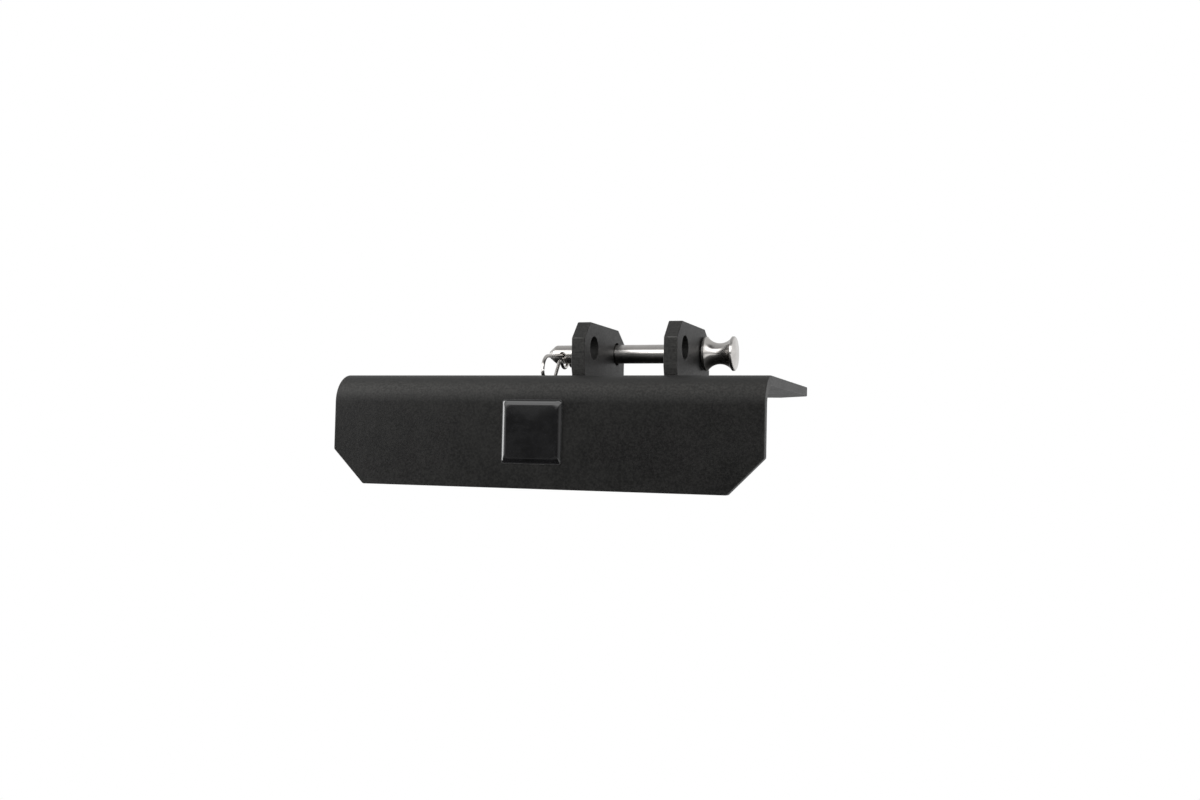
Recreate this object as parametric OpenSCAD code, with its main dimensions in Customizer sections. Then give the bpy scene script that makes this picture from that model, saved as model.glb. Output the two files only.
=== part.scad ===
// Hitch receiver step: a folded steel step that hangs on a drop bar by two drilled ears,
// locked by a turned cross pin with a hairpin clip.
// Frame: millimetres. The origin is the middle of the front cross hole, halfway between the
// ears. X runs along the cross pin to its knob, Y to the rear of the step, Z up.

/* [Step plate] */
// Width of the plate
plate_w = 356; // [300:1:420]
// Depth of the tread, from the face of the apron to the rear edge
plate_depth = 203; // [170:1:260]
// Height of the apron, measured from the top of the tread
apron_h = 89; // [84:1:120]
// Thickness of the plate
plate_t = 8; // [5:0.5:10]
// Inside radius of the fold
bend_r = 15; // [10:0.5:18]
// Leg of the cut across each free corner
corner_cut = 27.5; // [10:0.5:34]

/* [Ears] */
// Thickness of an ear
ear_t = 11; // [8:0.5:14]
// Gap between the ears, for the drop bar
ear_gap = 65; // [52:1:80]
// Height of an ear above the tread
ear_h = 44.5; // [42:0.5:60]
// Length of an ear, front to rear
ear_len = 100; // [96:1:112]
// Distance from the face of the apron to the front edge of an ear
ear_setback = 33.5; // [30:0.5:50]
// Distance of the pair of ears from the middle of the plate, to the right
ears_offset = 58.5; // [0:0.5:70]
// Length of the cut across the front top corner
front_cut_len = 13; // [6:0.5:18]
// Height of the cut across the front top corner
front_cut_h = 14; // [6:0.5:20]
// Length of the cut across the rear top corner
rear_cut_len = 17; // [6:0.5:20]
// Height of the cut across the rear top corner
rear_cut_h = 10.5; // [6:0.5:16]
// Length of the snipe at each foot corner
foot_cut_len = 2.5; // [0.5:0.5:5]
// Height of the snipe at each foot corner
foot_cut_h = 8; // [2:0.5:11]

/* [Cross holes] */
// Diameter of both cross holes
hole_d = 19; // [18:0.25:22]
// Height of the holes above the tread
hole_h = 24; // [23:0.5:28]
// Distance of the front hole from the front edge of the ear
front_hole_back = 23; // [18:0.5:26]
// Distance of the rear hole from the rear edge of the ear
rear_hole_ahead = 19.5; // [16:0.5:22]

/* [Welds] */
// Leg of a fillet weld
weld_leg = 4.5; // [3:0.5:6]
// Length of a weld run
weld_len = 32; // [20:1:34]
// Distance from the ear's rear edge to the end of the run
weld_inset = 6; // [4:0.5:12]

/* [Badge] */
// Side of the square badge
badge_size = 50; // [30:1:54]
// Radius of the badge's corners
badge_corner_r = 2.5; // [1:0.25:6]
// Thickness of the label under the resin
badge_label_t = 0.5; // [0.3:0.1:1]
// Height of the resin cap
badge_dome_t = 2; // [1:0.25:4]
// Width over which the cap's edge rolls off
badge_roll_w = 3; // [1:0.25:5]
// How far the label shows past the cap on each side
badge_label_rim = 0.4; // [0.2:0.1:1]
// Distance of the badge from the middle of the plate, to the right
badge_offset = -3.5; // [-30:0.5:30]
// Distance of the badge's middle below the top of the tread
badge_drop = 45; // [44:0.5:52]

/* [Hitch pin] */
// Diameter of the pin's shank
pin_d = 15.9; // [14:0.1:17]
// How far the pin's tip stands out past the left ear
pin_reach = 50; // [44:0.5:60]
// Radius of the flat at the nose's end
nose_tip_r = 3; // [2:0.25:5]
// Angle of the nose's cone to the pin's axis
nose_angle = 39; // [30:1:45]
// Radius that blends the cone into the shank
nose_blend_r = 4; // [2:0.25:5]
// Radius that rounds the cone into the flat
nose_edge_r = 0.8; // [0.4:0.1:1.2]
// Diameter of the hole across the pin, for the clip
clip_hole_d = 4.8; // [4.5:0.1:6]
// Distance of that hole from the pin's tip
clip_hole_back = 14; // [12:0.5:18]

/* [Knob] */
// Diameter of the knob's two rims
knob_d = 28.6; // [24:0.2:34]
// Diameter of the knob's waist
knob_waist_d = 17.5; // [17.2:0.1:20]
// Length of the knob without its crown
knob_len = 26; // [20:0.5:34]
// Width of the rim next to the ear
knob_rim_in = 2.5; // [1.5:0.25:4]
// Width of the outer rim
knob_rim_out = 2; // [1.5:0.25:4]
// Rounding of the rims' edges
knob_edge_r = 0.8; // [0.3:0.1:1.2]
// Height of the crown on the knob's end
knob_crown = 1.4; // [0.6:0.1:3]
// Play between the knob and the right ear
knob_play = 0.8; // [0.1:0.1:1.5]

/* [Hairpin clip] */
// Diameter of the spring wire
wire_d = 3; // [2.6:0.1:3.4]
// Length of the straight leg behind the pin's axis
leg_behind = 14; // [11:0.5:18]
// Length of the straight leg in front of the pin's axis
leg_ahead = 41; // [36:0.5:50]
// How far the leg lies below the middle of the pin's cross hole
leg_drop = 0.5; // [0:0.05:0.5]
// Angle at which the clip hangs forward, the pin turned with it
clip_tilt = 5.5; // [2:0.25:6]
// Radius of the eye's upper bend, on the wire's centre line
eye_r = 12; // [10:0.5:13]
// Straight run at the front of the eye
eye_front_len = 1; // [0.5:0.25:2]
// Play between the eye and the tread that it hangs down to
eye_play = 0.3; // [0.2:0.1:1]
// Radius of the bend where the sprung leg starts to rise
rise_r = 5; // [4:0.5:8]
// Steepness of the rise
rise_angle = 56; // [52:1:66]
// Radius of the hump in front of the pin
hump_r = 4; // [3:0.25:5]
// Steepness of the fall behind the hump
fall_angle = 47; // [40:1:55]
// Straight run between the hump and the seat
fall_len = 1.5; // [1:0.1:3]
// Radius of the seat that wraps under the pin
seat_r = 8; // [7:0.1:10]
// Play between the seat and the pin
seat_play = 2; // [1.5:0.1:3]
// Distance of the seat's middle in front of the pin's axis
seat_ahead = 2; // [0:0.1:3]
// Steepness of the lift behind the seat
lift_angle = 45; // [35:1:50]
// Straight run of the lift
lift_len = 2.5; // [1:0.1:4]
// Angle at which the tail flares away
tail_angle = 25; // [10:1:40]
// Length of the tail
tail_len = 5; // [2:0.5:8]

/* [Hidden] */
$fn = 96;
eps = 0.01;
cut_margin = 1;
powder_black = [0.09, 0.09, 0.09];
badge_black = [0.02, 0.02, 0.02];
stainless = [0.78, 0.78, 0.76];

// Places that the pieces share
tread_z = -hole_h;
apron_y = -front_hole_back - ear_setback;
plate_x = -ears_offset;
bend_outer_r = bend_r + plate_t;
ear_front_y = -front_hole_back;
ear_face_x = ear_gap / 2 + ear_t;
hole_pitch = ear_len - front_hole_back - rear_hole_ahead;
knob_face_x = ear_face_x + knob_play;
pin_tip_x = -ear_face_x - pin_reach;
clip_x = pin_tip_x + clip_hole_back;
pin_r = pin_d / 2;
wire_r = wire_d / 2;
nose_len = (pin_r - nose_tip_r) / tan(nose_angle) + nose_blend_r * tan(nose_angle / 2);
bend_thinning = 0.02;
lap = 0.05;

// Step plate: the fold's section swept across the width, less the four corners

// Section of the folded plate: x towards the rear, y up, zero at the apron's face and the tread
module fold_section() {
    translate([0, -apron_h]) square([plate_t, apron_h - bend_outer_r]);
    translate([bend_outer_r, -plate_t]) square([plate_depth - bend_outer_r, plate_t]);
    intersection() {
        translate([bend_outer_r, -bend_outer_r]) difference() {
            circle(bend_outer_r);
            circle(bend_r);
        }
        translate([0, -bend_outer_r]) square(bend_outer_r);
    }
}

// Square bar, turned on its corner, that takes a leg of cut off each side of an edge
module corner_bar(cut, length) {
    rotate([0, 0, 45]) cube([cut * sqrt(2), cut * sqrt(2), length], center = true);
}

module step_plate() {
    color(powder_black) translate([plate_x, apron_y, tread_z]) difference() {
        rotate([90, 0, 90]) linear_extrude(plate_w, center = true) fold_section();
        for (side = [-1, 1]) {
            translate([side * plate_w / 2, plate_t / 2, -apron_h])
                rotate([90, 0, 0]) corner_bar(corner_cut, plate_t + 2 * cut_margin);
            translate([side * plate_w / 2, plate_depth, -plate_t / 2])
                corner_bar(corner_cut, plate_t + 2 * cut_margin);
        }
    }
}

// Ears: a plate lug with all corners cut, drilled twice

// Outline of an ear: x towards the rear from its front edge, y up from the tread
module ear_outline() {
    polygon([
        [foot_cut_len, 0],
        [ear_len - foot_cut_len, 0],
        [ear_len, foot_cut_h],
        [ear_len, ear_h - rear_cut_h],
        [ear_len - rear_cut_len, ear_h],
        [front_cut_len, ear_h],
        [0, ear_h - front_cut_h],
        [0, foot_cut_h]
    ]);
}

// Ear whose middle plane stands at x
module ear(x) {
    translate([x, 0, 0]) rotate([90, 0, 90]) difference() {
        translate([ear_front_y, tread_z, -ear_t / 2]) linear_extrude(ear_t) ear_outline();
        for (y = [0, hole_pitch])
            translate([y, 0, 0]) cylinder(h = ear_t + 2 * cut_margin, d = hole_d, center = true);
    }
}

module left_ear() {
    color(powder_black) ear(-(ear_gap + ear_t) / 2);
}

module right_ear() {
    color(powder_black) ear((ear_gap + ear_t) / 2);
}

// Fillet weld: a quarter-round bead with ball ends, in the corner between the tread and an
// ear's outer face. side is -1 for the left ear and 1 for the right one. The inner faces stay
// clear for the drop bar.
module weld(side) {
    run = weld_len - 2 * weld_leg;
    front_y = ear_front_y + ear_len - weld_inset - weld_len;
    color(powder_black)
        translate([side * ear_face_x, front_y + weld_leg, tread_z])
            intersection() {
                union() {
                    rotate([-90, 0, 0]) cylinder(h = run, r = weld_leg);
                    sphere(r = weld_leg);
                    translate([0, run, 0]) sphere(r = weld_leg);
                }
                translate([side > 0 ? 0 : -2 * weld_leg, -2 * weld_leg, 0])
                    cube([2 * weld_leg, run + 4 * weld_leg, 2 * weld_leg]);
            }
}

module left_weld() {
    weld(-1);
}

module right_weld() {
    weld(1);
}

// Badge: a thin label, and a resin cap whose edge rolls off as a quarter ellipse

module rounded_square(size, r) {
    square([size - 2 * r, size], center = true);
    square([size, size - 2 * r], center = true);
    for (x = [-1, 1], y = [-1, 1])
        translate([x * (size / 2 - r), y * (size / 2 - r)]) circle(r);
}

// Puts a badge piece, drawn flat with its height along z, on the apron's face
module on_apron(height) {
    translate([plate_x + badge_offset, apron_y - height, tread_z - badge_drop])
        rotate([90, 0, 0]) children();
}

module badge_label() {
    color(badge_black) on_apron(0) linear_extrude(badge_label_t)
        rounded_square(badge_size, badge_corner_r);
}

module badge_dome() {
    layers = 8;
    cap_size = badge_size - 2 * badge_label_rim;
    color(badge_black) on_apron(badge_label_t) hull()
        for (i = [0:layers]) {
            roll = 90 * i / layers;
            inset = badge_roll_w * (1 - cos(roll));
            translate([0, 0, (badge_dome_t - eps) * sin(roll)]) linear_extrude(eps)
                rounded_square(cap_size - 2 * inset, badge_corner_r + inset / 2, $fn = 32);
        }
}

// Hitch pin: one turned profile from the nose to the knob's crown, cross-drilled for the clip

// Nose: a small flat, a cone, and the blend on to the shank, all tangent
module nose_profile() {
    edge = [nose_tip_r - nose_edge_r * tan((90 - nose_angle) / 2), nose_edge_r];
    blend = [pin_r - nose_blend_r, nose_len];
    normal = [cos(nose_angle), -sin(nose_angle)];
    polygon([
        [0, 0],
        [edge[0], 0],
        edge + nose_edge_r * normal,
        blend + nose_blend_r * normal,
        blend,
        [0, nose_len]
    ]);
    translate(edge) circle(nose_edge_r);
    intersection() {
        translate(blend) circle(nose_blend_r);
        translate([0, nose_len - nose_blend_r]) square([pin_r, nose_blend_r]);
    }
}

// Sharp corner left outside a rounding of radius r, at the corner of a first-quadrant square
module edge_waste(r) {
    difference() {
        translate([0, 0]) square(r + eps);
        circle(r);
    }
}

// Knob: two rims, the concave waist between them and a shallow crown
module knob_profile() {
    knob_r = knob_d / 2;
    groove_half = (knob_len - knob_rim_in - knob_rim_out) / 2;
    groove_depth = knob_r - knob_waist_d / 2;
    groove_r = (pow(groove_half, 2) + pow(groove_depth, 2)) / (2 * groove_depth);
    crown_r = (pow(knob_r, 2) + pow(knob_crown, 2)) / (2 * knob_crown);
    difference() {
        union() {
            square([knob_r, knob_len]);
            intersection() {
                translate([0, knob_len + knob_crown - crown_r]) circle(crown_r, $fn = 360);
                translate([0, knob_len - eps]) square([knob_r, knob_crown + 2 * eps]);
            }
        }
        translate([knob_waist_d / 2 + groove_r, knob_rim_in + groove_half]) circle(groove_r);
        translate([knob_r - knob_edge_r, knob_edge_r]) mirror([0, 1]) edge_waste(knob_edge_r);
        translate([knob_r - knob_edge_r, knob_len - knob_edge_r]) edge_waste(knob_edge_r);
    }
}

module hitch_pin() {
    shank_len = knob_face_x - pin_tip_x - nose_len;
    color(stainless) difference() {
        translate([pin_tip_x, hole_pitch, 0]) rotate([0, 90, 0]) rotate_extrude() {
            nose_profile();
            translate([0, nose_len]) square([pin_r, shank_len]);
            translate([0, nose_len + shank_len]) knob_profile();
        }
        translate([clip_x, hole_pitch, 0])
            rotate([90 + clip_tilt, 0, 0])
                cylinder(h = pin_d + 2 * cut_margin, d = clip_hole_d, center = true);
    }
}

// Hairpin clip: round wire along a chain of [straight run, turn, radius], in the plane across
// the pin. The chain starts at the hidden end of the straight leg. In that plane x points down
// and y forward, from the pin's axis. Walking the chain gives [x, y, heading], the heading
// turned from y towards x, and a turn towards x is positive.

function step_on(state, link) =
    let (
        x = state[0] + link[0] * sin(state[2]),
        y = state[1] + link[0] * cos(state[2]),
        arm = sign(link[1]) * link[2],
        next = state[2] + link[1]
    )
    [x + arm * (cos(state[2]) - cos(next)), y - arm * (sin(state[2]) - sin(next)), next];

function walk(state, chain, i = 0) =
    i == len(chain) ? state : walk(step_on(state, chain[i]), chain, i + 1);

leg_start = [
    leg_drop * cos(clip_tilt) - leg_behind * sin(clip_tilt),
    -leg_drop * sin(clip_tilt) - leg_behind * cos(clip_tilt),
    clip_tilt
];
leg_links = [[leg_behind + leg_ahead, 90 - clip_tilt, eye_r]];
eye_side = walk(leg_start, leg_links);
eye_low_r = hole_h - wire_r - eye_play - eye_side[0] - eye_front_len;
eye_links = concat(leg_links, [[eye_front_len, 90, eye_low_r]]);

// The back run and the rise take the lengths that bring the seat under the pin
wave_start = walk(leg_start, eye_links);
seat_start = walk(wave_start, [
    [0, rise_angle, rise_r],
    [0, -rise_angle - fall_angle, hump_r],
    [fall_len, 0, 0]
]);
seat_low = pin_r + wire_r + seat_play;
seat_mid = [
    seat_start[0] + seat_r * cos(seat_start[2]),
    seat_start[1] - seat_r * sin(seat_start[2])
];
rise_len = (seat_mid[0] - seat_low + seat_r) / sin(rise_angle);
back_len = seat_mid[1] - rise_len * cos(rise_angle) - seat_ahead;

clip_chain = concat(eye_links, [
    [back_len, rise_angle, rise_r],
    [rise_len, -rise_angle - fall_angle, hump_r],
    [fall_len, fall_angle + lift_angle, seat_r],
    [lift_len, -lift_angle - tail_angle, hump_r],
    [tail_len, 0, 0]
]);

// One link of wire, then whatever follows it at its end. A bend thins the wire a little, and
// each straight run laps into the bends beside it, so that the whole clip is one body.
module wire_link(run, turn, radius) {
    arm = sign(turn) * radius;
    translate([0, -lap, 0]) rotate([-90, 0, 0]) cylinder(h = run + 2 * lap, d = wire_d, $fn = 32);
    translate([0, run, 0]) {
        if (turn != 0)
            translate([arm, 0, 0]) rotate([0, 0, turn > 0 ? 180 - turn : 0])
                rotate_extrude(angle = abs(turn)) translate([radius, 0])
                    circle(d = wire_d - bend_thinning, $fn = 32);
        translate([arm, 0, 0]) rotate([0, 0, -turn]) translate([-arm, 0, 0]) children();
    }
}

module wire_end() {
    sphere(d = wire_d - bend_thinning, $fn = 32);
}

module wire(chain, i = 0) {
    if (i < len(chain))
        wire_link(chain[i][0], chain[i][1], chain[i][2]) wire(chain, i + 1);
    else
        wire_end();
}

module pin_clip() {
    color(stainless) translate([clip_x, hole_pitch, 0]) rotate([0, 90, 180])
        rotate([0, 0, -clip_tilt]) translate([leg_drop, -leg_behind, 0]) {
            wire_end();
            wire(clip_chain);
        }
}

step_plate();
left_ear();
right_ear();
left_weld();
right_weld();
badge_label();
badge_dome();
hitch_pin();
pin_clip();
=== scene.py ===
"""Looks of a hitch receiver step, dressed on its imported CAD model.

Every piece is in metres, in the model's own frame: the origin is the middle of the front
cross hole, X runs along the cross pin to its knob, Y to the rear of the step, and Z up.
Sizes are written in millimetres, as on a drawing, and scaled by MM.
"""

import logging
from collections.abc import Callable
from dataclasses import dataclass
from enum import Enum
from functools import cache, reduce
from math import asin, atan2, ceil, copysign, cos, degrees, exp, hypot, pi, radians, sin, sqrt, tan

import bmesh
import bpy
from mathutils import Matrix, Vector


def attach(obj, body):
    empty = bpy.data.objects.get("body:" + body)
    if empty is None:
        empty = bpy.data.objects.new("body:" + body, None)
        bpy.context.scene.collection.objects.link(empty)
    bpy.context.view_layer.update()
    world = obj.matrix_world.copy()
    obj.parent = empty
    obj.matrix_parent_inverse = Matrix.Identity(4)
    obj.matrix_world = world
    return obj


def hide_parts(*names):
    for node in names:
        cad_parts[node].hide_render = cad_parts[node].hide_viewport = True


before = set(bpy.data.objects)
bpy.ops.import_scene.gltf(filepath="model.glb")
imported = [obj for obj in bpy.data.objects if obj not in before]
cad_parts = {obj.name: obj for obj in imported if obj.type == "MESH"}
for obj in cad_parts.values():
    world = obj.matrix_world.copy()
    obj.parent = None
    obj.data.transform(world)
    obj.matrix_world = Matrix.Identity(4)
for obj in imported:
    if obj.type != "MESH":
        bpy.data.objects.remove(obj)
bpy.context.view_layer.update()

LOG = logging.getLogger("hitch_step")
MM = 0.001
EDGE_LAYER = "edge"
FOLD_HIGHLIGHT_LAYER = "bend"
FLAT_WEIGHT = 80
RIM_FACES = 4
CUTTER_SIDES = 48
CAP_STEPS = 6

Point2 = tuple[float, float]
Socket = bpy.types.NodeSocket
Node = bpy.types.Node
Outputs = bpy.types.NodeOutputs
Tree = bpy.types.NodeTree
Shape = bmesh.types.BMesh
Object = bpy.types.Object
Material = bpy.types.Material
Triple = tuple[float, float, float]
Strip = tuple[Point2, ...]
Inputs = dict[str, object]
FLOAT = "NodeSocketFloat"


class Body(Enum):
    """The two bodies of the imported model."""

    BRACKET = "bracket"
    PIN = "pin"


class Slot(Enum):
    """Names of three material slots."""

    COAT = "powder_coat"
    STAINLESS = "polished_stainless"
    RESIN = "badge_resin"


class Side(Enum):
    """Which ear of the pair, as the sign of its X."""

    LEFT = -1
    RIGHT = 1


class Graph:
    """Adds nodes to one tree and links them."""

    def __init__(self, tree: Tree) -> None:
        """Keeps the tree and empties it."""
        self.tree = tree
        tree.nodes.clear()

    def add(self, kind: str, inputs: dict | None = None, **settings: object) -> Node:
        """Adds one node.

        Args:
            kind: The node's type name.
            inputs: Socket names or numbers, each with a socket to link or a value to set.
            settings: Properties of the node itself.

        Returns:
            The new node.
        """
        node = self.tree.nodes.new(kind)
        for name, value in settings.items():
            setattr(node, name, value)
        for key, value in (inputs or {}).items():
            self.feed(node.inputs[key], value)
        return node

    def feed(self, socket: Socket, value: object) -> None:
        """Links a socket to the input, or sets the input's own value."""
        if isinstance(value, bpy.types.NodeSocket):
            self.tree.links.new(value, socket)
        else:
            socket.default_value = value

    def math(self, operation: str, *values: object, clamp: bool = False) -> Socket:
        """Adds a Math node on sockets or numbers and returns its result."""
        settings = {"operation": operation, "use_clamp": clamp}
        return self.add("ShaderNodeMath", dict(enumerate(values)), **settings).outputs[0]

    def ramp(self, value: Socket, low: float, high: float, to: Point2 = (0, 1)) -> Socket:
        """Maps low..high smoothly on to the range given by to, clamped."""
        limits = dict(zip(("From Min", "From Max", "To Min", "To Max"), (low, high, *to)))
        inputs = {"Value": value, **limits}
        node = self.add("ShaderNodeMapRange", inputs, interpolation_type="SMOOTHSTEP")
        return node.outputs["Result"]

    def mix(self, mask: object, *colours: object) -> Socket:
        """Mixes two colours, sockets or values: the first where the mask is 0, the second at 1."""
        full = ((*c, 1.0) if isinstance(c, tuple) else c for c in colours)
        inputs = dict(zip((0, 6, 7), (mask, *full)))
        return self.add("ShaderNodeMix", inputs, data_type="RGBA").outputs[2]

    def blend(self, mask: object, first: object, second: object) -> Socket:
        """Mixes two numbers by a mask, as mix does with colours."""
        inputs = {0: mask, 2: first, 3: second}
        return self.add("ShaderNodeMix", inputs, data_type="FLOAT").outputs[0]

    def noise(self, vector: Socket, scale: object, detail: float, rough: float = 0.5) -> Socket:
        """Adds a Noise Texture and returns its value."""
        inputs = {"Vector": vector, "Scale": scale, "Detail": detail, "Roughness": rough}
        return self.add("ShaderNodeTexNoise", inputs).outputs[0]

    def bump(self, height: Socket, strength: float, distance: float) -> Socket:
        """Adds a Bump node and returns its normal."""
        inputs = {"Height": height, "Strength": strength, "Distance": distance}
        return self.add("ShaderNodeBump", inputs).outputs[0]

    def split(self, vector: Socket) -> Outputs:
        """Gives the three parts of a vector."""
        return self.add("ShaderNodeSeparateXYZ", {0: vector}).outputs

    def effect(self, maker: Callable[[], Tree], place: Socket, **inputs: object) -> Outputs:
        """Places a shared group, with its coordinates and numbers, and returns its outputs."""
        group = {"Vector": place, **inputs}
        return self.add("ShaderNodeGroup", group, node_tree=maker()).outputs


def shader_group(
    name: str, inputs: tuple[str, ...], outputs: tuple[str, ...]
) -> tuple[Graph, Outputs, bpy.types.NodeInputs]:
    """Starts a shader node group.

    Args:
        name: The group's name.
        inputs: Names of its number inputs, which follow the one called Vector.
        outputs: Names of its number outputs.

    Returns:
        Its graph, the sockets that bring the inputs, and the sockets that take the outputs.
    """
    tree = bpy.data.node_groups.new(name, "ShaderNodeTree")
    tree.interface.new_socket("Vector", in_out="INPUT", socket_type="NodeSocketVector")
    for label in inputs:
        tree.interface.new_socket(label, in_out="INPUT", socket_type=FLOAT)
    for label in outputs:
        tree.interface.new_socket(label, in_out="OUTPUT", socket_type=FLOAT)
    graph = Graph(tree)
    return graph, graph.add("NodeGroupInput").outputs, graph.add("NodeGroupOutput").inputs


@cache
def coat_grain() -> Tree:
    """Builds the pebbled skin of a powder coat: a height, and a mottle of its tone."""
    graph, source, sink = shader_group("coat_grain", ("Grain", "Swell"), ("Height", "Mottle"))
    vector, grain = source["Vector"], source["Grain"]
    fine = graph.noise(vector, grain, 3.0, 0.55)
    cells = graph.add(
        "ShaderNodeTexVoronoi",
        {"Vector": vector, "Scale": graph.math("MULTIPLY", grain, 0.8)},
        feature="SMOOTH_F1",
    ).outputs["Distance"]
    swell = graph.noise(vector, source["Swell"], 2.0)
    pebble = graph.math("MULTIPLY_ADD", cells, -0.5, fine)
    graph.feed(sink["Height"], graph.math("MULTIPLY_ADD", swell, 0.5, pebble))
    blotch = graph.noise(vector, graph.math("MULTIPLY", grain, 0.55), 4.0, 0.65)
    graph.feed(sink["Mottle"], graph.ramp(blotch, 0.35, 0.68))
    return graph.tree


@cache
def edge_rub_and_sheen() -> Tree:
    """Builds the broken line along an edge, from the piece's edge attribute: partly rub wear,
    partly a painted highlight.
    """
    graph, source, sink = shader_group("edge_rub_and_sheen", ("Edge", "Amount"), ("Mask",))
    patchy = graph.ramp(graph.noise(source["Vector"], 120.0, 5.0, 0.7), 0.35, 0.6)
    rub_and_sheen = graph.math("MULTIPLY", graph.ramp(source["Edge"], 0.25, 0.9), patchy)
    graph.feed(sink["Mask"], graph.math("MULTIPLY", rub_and_sheen, source["Amount"], clamp=True))
    return graph.tree


@cache
def handling() -> Tree:
    """Builds the faint cloudy marks that handling leaves on a finish."""
    graph, source, sink = shader_group("handling", ("Scale",), ("Mask",))
    vector, scale = source["Vector"], source["Scale"]
    cloud = graph.noise(vector, scale, 4.0, 0.6)
    smear = graph.noise(vector, graph.math("MULTIPLY", scale, 3.7), 3.0, 0.5)
    both = graph.math("MULTIPLY_ADD", smear, 0.35, cloud)
    graph.feed(sink["Mask"], graph.ramp(both, 0.5, 0.85))
    return graph.tree


@cache
def drag_lines() -> Tree:
    """Builds the lines that a cutting torch leaves across a plate's edge."""
    graph, source, sink = shader_group("drag_lines", ("Pitch",), ("Line",))
    squeezed = {0: source["Vector"], 1: (0.06, 1.0, 1.0)}
    flat = graph.add("ShaderNodeVectorMath", squeezed, operation="MULTIPLY").outputs[0]
    lines = graph.noise(flat, source["Pitch"], 2.0, 0.6)
    graph.feed(sink["Line"], graph.ramp(lines, 0.3, 0.7))
    return graph.tree


@cache
def tool_lines() -> Tree:
    """Builds the fine rings that turning and polishing leave across the X axis."""
    graph, source, sink = shader_group("tool_lines", ("Pitch",), ("Height", "Streak"))
    along = graph.split(source["Vector"])[0]
    fine, wide = (
        graph.add("ShaderNodeCombineXYZ", {0: graph.math("MULTIPLY", along, pitch)}).outputs[0]
        for pitch in (source["Pitch"], 420.0)
    )
    graph.feed(sink["Height"], graph.noise(fine, 1.0, 2.0, 0.6))
    graph.feed(sink["Streak"], graph.ramp(graph.noise(wide, 1.0, 3.0), 0.3, 0.7))
    return graph.tree


def new_material(name: str) -> tuple[Material, Graph, Socket]:
    """Starts a material and gives it with its graph and its object coordinates."""
    material = bpy.data.materials.new(name)
    material.use_nodes = True
    graph = Graph(material.node_tree)
    return material, graph, graph.add("ShaderNodeTexCoord").outputs["Object"]


@dataclass(frozen=True)
class Finish:
    """A finish, made of one Principled shader."""

    name: str

    def inputs(self, graph: Graph, place: Socket) -> Inputs:
        """Gives the shader's inputs."""
        raise NotImplementedError

    def material(self) -> Material:
        """Builds the material."""
        made, graph, place = new_material(self.name)
        shader = graph.add("ShaderNodeBsdfPrincipled", self.inputs(graph, place))
        graph.add("ShaderNodeOutputMaterial", {"Surface": shader.outputs[0]})
        return made


@dataclass(frozen=True)
class PowderCoat(Finish):
    """Fine-textured black powder coat on steel."""

    name: str = "powder_coat"
    body: Triple = (0.0030, 0.0030, 0.0028)
    pale: Triple = (0.0150, 0.0147, 0.0138)
    # Colour of the rims: partly rub wear, partly a painted highlight.
    rub_and_sheen_tone: Triple = (0.05, 0.049, 0.047)
    # Colour of the painted highlight across the plate's fold.
    fold_highlight_tone: Triple = (0.047, 0.046, 0.044)
    roughness: Point2 = (0.46, 0.60)
    gloss: Point2 = (0.12, 0.5)
    film: float = 0.08
    film_roughness: float = 0.28
    grain: float = 1050.0
    relief: float = 0.00013
    relief_strength: float = 0.7
    rub_and_sheen: float = 0.55
    swell: float = 170.0
    marks: float = 26.0
    cut_pitch: float = 1500.0
    cut_lines: float = 0.0

    def inputs(self, graph: Graph, place: Socket) -> Inputs:
        """Gives the shader's inputs."""
        skin = graph.effect(coat_grain, place, Grain=self.grain, Swell=self.swell)
        marks = graph.effect(handling, place, Scale=self.marks)["Mask"]
        edge, bend = (
            graph.add("ShaderNodeAttribute", attribute_name=name).outputs["Fac"]
            for name in (EDGE_LAYER, FOLD_HIGHLIGHT_LAYER)
        )
        rub_and_sheen = graph.effect(edge_rub_and_sheen, place, Edge=edge, Amount=self.rub_and_sheen)["Mask"]
        cut = graph.effect(drag_lines, place, Pitch=self.cut_pitch)["Line"]
        tone = graph.math("MULTIPLY", skin["Mottle"], 0.7)
        tone = graph.math("MULTIPLY_ADD", marks, 0.3, tone)
        tone = graph.math("MULTIPLY_ADD", cut, self.cut_lines, tone)
        colour = graph.mix(tone, self.body, self.pale)
        # Painted highlight: a paler band across the fold, broken up by the coat's mottle.
        fold_highlight_mask = graph.math("MULTIPLY", bend, graph.ramp(skin["Mottle"], 0.0, 1.0, (0.55, 1.0)))
        colour = graph.mix(fold_highlight_mask, colour, self.fold_highlight_tone)
        height = graph.math("MULTIPLY_ADD", cut, 1.5 * self.cut_lines, skin["Height"])
        facing = graph.add("ShaderNodeLayerWeight", {"Blend": 0.5}).outputs["Facing"]
        return {
            # Rims get a lighter colour: partly rub wear, partly a painted highlight.
            "Base Color": graph.mix(rub_and_sheen, colour, self.rub_and_sheen_tone),
            "Roughness": graph.ramp(tone, 0.0, 1.0, self.roughness),
            "Specular IOR Level": graph.ramp(facing, 0.1, 0.75, self.gloss),
            "Coat Weight": self.film,
            "Coat Roughness": self.film_roughness,
            "Normal": graph.bump(height, self.relief_strength, self.relief),
        }


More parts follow.
